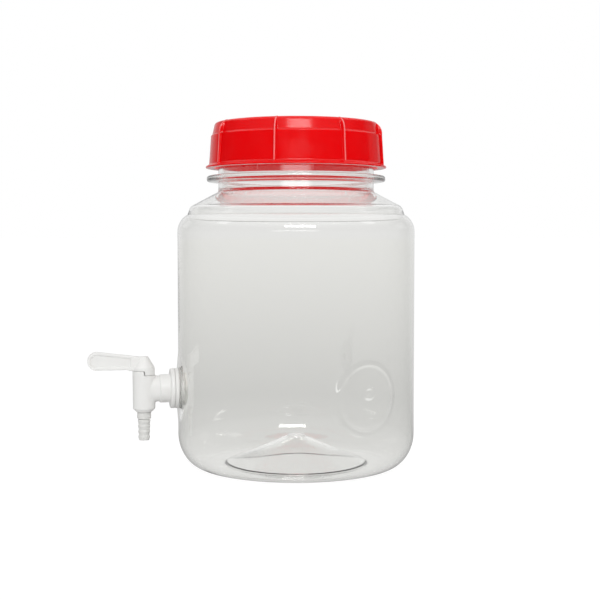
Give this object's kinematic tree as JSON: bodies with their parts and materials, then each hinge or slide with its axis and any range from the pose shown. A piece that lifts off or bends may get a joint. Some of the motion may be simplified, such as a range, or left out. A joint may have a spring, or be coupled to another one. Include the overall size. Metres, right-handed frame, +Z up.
{
  "type": "carboy",
  "caption": "Clear wide-mouth plastic carboy with a ribbed screw lid, a closed spare port and a small lever tap that ends in a hose barb.",
  "frame": {"origin": "middle of the object's bounding footprint, on the plane the jar stands on", "axes": "+Z up along the jar's axis; the tap points along -X; the spare port faces mostly -Y, turned a little towards +X"},
  "size_m": [0.2266, 0.1662, 0.2386],
  "materials": {
    "clear_pet": "clear, blow moulded, glossy",
    "red_polypropylene": "red, injection moulded, semi-gloss",
    "white_polypropylene": "off-white, injection moulded, satin",
    "natural_polyethylene": "natural, slightly see-through, satin",
    "white_silicone": "soft white, matte"
  },
  "bodies": {
    "jar": {"jar": "clear_pet", "tap_body": "white_polypropylene", "tap_outer_washer": "white_silicone", "tap_inner_washer": "white_silicone", "tap_lock_nut": "natural_polyethylene"},
    "lid_seal": {"lid_gasket": "white_silicone"},
    "lid": {"lid": "red_polypropylene"},
    "valve": {"tap_plug": "natural_polyethylene", "tap_lever": "white_polypropylene"}
  },
  "joints": [
    {"name": "lid_rise", "type": "slide", "parent": "jar", "child": "lid_seal", "axis": [0, 0, 1], "range_m": [0, 0.0345]},
    {"name": "lid_turn", "type": "hinge", "parent": "lid_seal", "child": "lid", "pos_m": [0.0307, 0.00047, 0.22], "axis": [0, 0, 1], "range_deg": [0, 1980]},
    {"name": "lever_turn", "type": "hinge", "parent": "jar", "child": "valve", "pos_m": [-0.075, 0.00047, 0.0553], "axis": [0, 0, 1], "range_deg": [0, 90]}
  ],
  "couplings": [
    {"joint": "lid_rise", "follows": "lid_turn", "m_per_rad": 0.00095493}
  ]
}
